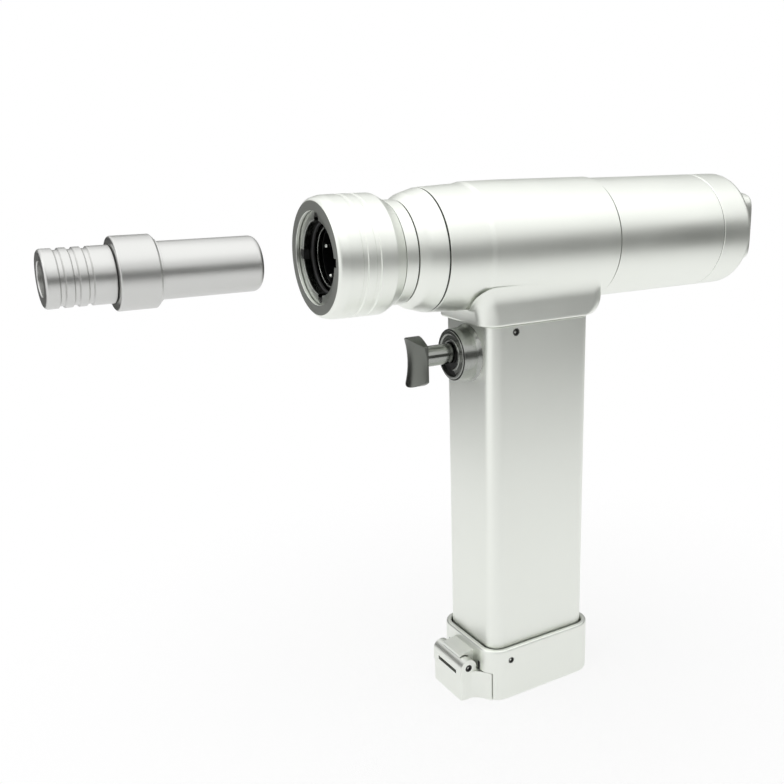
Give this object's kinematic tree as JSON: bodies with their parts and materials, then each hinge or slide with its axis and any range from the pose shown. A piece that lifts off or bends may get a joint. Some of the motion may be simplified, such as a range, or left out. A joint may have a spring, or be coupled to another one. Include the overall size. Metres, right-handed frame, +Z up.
{
  "type": "surgical power drill",
  "caption": "Battery surgical drill with a pistol grip, a quick coupling on its nose, a mode knob at the back, a latched battery lid and a detached tool adaptor.",
  "frame": {"origin": "centre of the battery lid's underside, on the plane the drill stands on", "axes": "+Z up along the handle, +X along the drill axis from the coupling to the knob, +Y to the drill's left seen from behind the knob looking towards the coupling"},
  "size_m": [0.2896, 0.048, 0.206],
  "materials": {
    "satin_aluminium": "satin",
    "dark_steel": "satin",
    "bright_steel": "ground",
    "black_steel": "blackened",
    "black_rubber": "matt",
    "copper_winding": "enamelled wire",
    "board_green": "gloss",
    "dark_plastic": "matt"
  },
  "bodies": {
    "drill_frame": {"motor_housing": "satin_aluminium", "nose_ring": "satin_aluminium", "rear_sleeve": "satin_aluminium", "end_cap": "satin_aluminium", "coupling_body": "dark_steel", "lock_ring": "black_steel", "coupling_seal": "black_rubber", "spindle_seal": "black_rubber", "bearing_outer_ring": "bright_steel", "bearing_ball_cage": "bright_steel", "ring_gear": "dark_steel", "motor_can": "dark_steel", "motor_end_plate": "dark_steel", "stator_winding": "copper_winding", "motor_bearing_front": "bright_steel", "motor_bearing_rear": "bright_steel", "control_board": "board_green", "selector_switch": "dark_plastic", "knob_seal": "black_rubber", "detent_plunger": "bright_steel", "handle_tube": "satin_aluminium", "handle_screw_left": "black_steel", "handle_screw_right": "black_steel", "latch_catch_plate": "dark_steel", "contact_block": "dark_plastic", "trigger_boss": "dark_steel", "trigger_bush": "bright_steel", "trigger_seal": "black_rubber", "trigger_sensor": "dark_plastic", "trigger_spring": "bright_steel", "collar_spring": "bright_steel"},
    "spindle": {"output_spindle": "bright_steel", "bearing_inner_ring": "bright_steel"},
    "planet_1": {"planet_gear_1": "bright_steel"},
    "planet_2": {"planet_gear_2": "bright_steel"},
    "planet_3": {"planet_gear_3": "bright_steel"},
    "rotor": {"rotor_shaft": "bright_steel", "rotor_core": "dark_steel", "sun_gear": "bright_steel"},
    "collar": {"release_collar": "satin_aluminium"},
    "knob": {"selector_knob": "satin_aluminium", "selector_shaft": "bright_steel"},
    "trigger": {"trigger_pad": "dark_steel", "trigger_rod": "dark_steel"},
    "lid": {"battery_lid": "satin_aluminium", "battery_pack": "dark_plastic", "lid_gasket": "black_rubber", "lid_screw_left": "black_steel", "lid_screw_right": "black_steel", "latch_pin": "black_steel", "latch_spring": "bright_steel"},
    "latch": {"lid_latch": "satin_aluminium"},
    "adaptor": {"adaptor_body": "satin_aluminium", "adaptor_spring": "bright_steel"},
    "adaptor_spindle": {"adaptor_spindle": "dark_steel"},
    "adaptor_sleeve": {"adaptor_sleeve": "satin_aluminium"}
  },
  "joints": [
    {"name": "spindle_spin", "type": "hinge", "parent": "drill_frame", "child": "spindle", "pos_m": [0, 0, 0.182], "axis": [1, 0, 0], "continuous": true},
    {"name": "rotor_spin", "type": "hinge", "parent": "drill_frame", "child": "rotor", "pos_m": [0, 0, 0.182], "axis": [1, 0, 0], "continuous": true},
    {"name": "planet_1_spin", "type": "hinge", "parent": "spindle", "child": "planet_1", "pos_m": [0, 0.01013, 0.182], "axis": [1, 0, 0], "continuous": true},
    {"name": "planet_2_spin", "type": "hinge", "parent": "spindle", "child": "planet_2", "pos_m": [0, -0.00506, 0.19077], "axis": [1, 0, 0], "continuous": true},
    {"name": "planet_3_spin", "type": "hinge", "parent": "spindle", "child": "planet_3", "pos_m": [0, -0.00506, 0.17323], "axis": [1, 0, 0], "continuous": true},
    {"name": "collar_turn", "type": "hinge", "parent": "drill_frame", "child": "collar", "pos_m": [0, 0, 0.182], "axis": [1, 0, 0], "range_deg": [0, 30], "stiffness_Nm_per_rad": 0.4},
    {"name": "knob_turn", "type": "hinge", "parent": "drill_frame", "child": "knob", "pos_m": [0, 0, 0.182], "axis": [1, 0, 0], "range_deg": [-30, 30]},
    {"name": "trigger_press", "type": "slide", "parent": "drill_frame", "child": "trigger", "axis": [1, 0, 0], "range_m": [0, 0.006], "stiffness_N_per_m": 500, "deforming": ["trigger_spring"]},
    {"name": "lid_slide", "type": "slide", "parent": "drill_frame", "child": "lid", "axis": [0, 0, -1], "range_m": [0, 0.125]},
    {"name": "latch_swing", "type": "hinge", "parent": "lid", "child": "latch", "pos_m": [-0.031, 0, 0.0138], "axis": [0, 1, 0], "range_deg": [0, 20], "stiffness_Nm_per_rad": 0.2},
    {"name": "adaptor_slide", "type": "slide", "parent": "drill_frame", "child": "adaptor", "axis": [1, 0, 0], "range_m": [0, 0.0575]},
    {"name": "adaptor_spindle_spin", "type": "hinge", "parent": "adaptor", "child": "adaptor_spindle", "pos_m": [-0.135, 0, 0.182], "axis": [1, 0, 0], "continuous": true},
    {"name": "adaptor_sleeve_slide", "type": "slide", "parent": "adaptor", "child": "adaptor_sleeve", "axis": [-1, 0, 0], "range_m": [0, 0.0025], "stiffness_N_per_m": 900, "deforming": ["adaptor_spring"]}
  ],
  "couplings": [
    {"joint": "rotor_spin", "follows": "spindle_spin", "ratio": 4.5},
    {"joint": "planet_1_spin", "follows": "spindle_spin", "ratio": -2.8},
    {"joint": "planet_2_spin", "follows": "spindle_spin", "ratio": -2.8},
    {"joint": "planet_3_spin", "follows": "spindle_spin", "ratio": -2.8}
  ]
}
